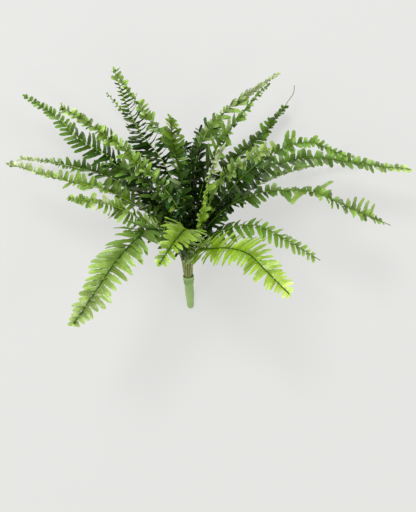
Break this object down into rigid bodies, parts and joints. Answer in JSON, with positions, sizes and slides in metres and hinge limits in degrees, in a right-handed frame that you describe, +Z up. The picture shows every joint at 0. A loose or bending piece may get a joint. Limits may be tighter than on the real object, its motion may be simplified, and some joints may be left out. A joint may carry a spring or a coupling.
{
  "type": "artificial boston fern bush",
  "caption": "Artificial Boston fern bush: arching fronds of paired leaflets on thin stems, gathered in a tapered sleeve bound with tape, lying on its back.",
  "frame": {"origin": "middle of the bush's bounding box, on the surface that it lies on", "axes": "+Z up from the surface, +Y from the sleeve towards the tips of the fronds, +X to the right as seen from above"},
  "size_m": [0.574, 0.3478, 0.243],
  "materials": {
    "frond_dark": "satin moulded plastic, dark green",
    "frond_mid": "satin moulded plastic, mid green",
    "frond_bright": "satin moulded plastic, yellow green",
    "sleeve": "soft matte moulded plastic, pale green",
    "tape": "waxed binding tape, green"
  },
  "bodies": {
    "root": {"frond_left_upper": "frond_dark", "frond_left_high": "frond_mid", "frond_left_wide": "frond_bright", "frond_left_low": "frond_dark", "frond_left_inner": "frond_mid", "frond_front_left": "frond_mid", "frond_front_middle": "frond_bright", "frond_top_dark": "frond_dark", "frond_back_left": "frond_dark", "frond_top_left": "frond_mid", "frond_top_middle": "frond_bright", "frond_front_upright": "frond_bright", "frond_top_hooked": "frond_mid", "frond_top_right": "frond_dark", "frond_back_right": "frond_dark", "frond_right_bright": "frond_bright", "frond_right_arched": "frond_mid", "frond_right_long": "frond_dark", "frond_right_low": "frond_dark", "frond_right_drooping": "frond_mid", "frond_right_short": "frond_mid", "frond_front_right": "frond_bright", "frond_back_middle": "frond_dark", "frond_back_inner": "frond_dark", "frond_inner_left": "frond_dark", "frond_inner_middle": "frond_dark", "frond_inner_right": "frond_dark", "sleeve": "sleeve", "binding_tape_1": "tape", "binding_tape_2": "tape"}
  },
  "joints": []
}
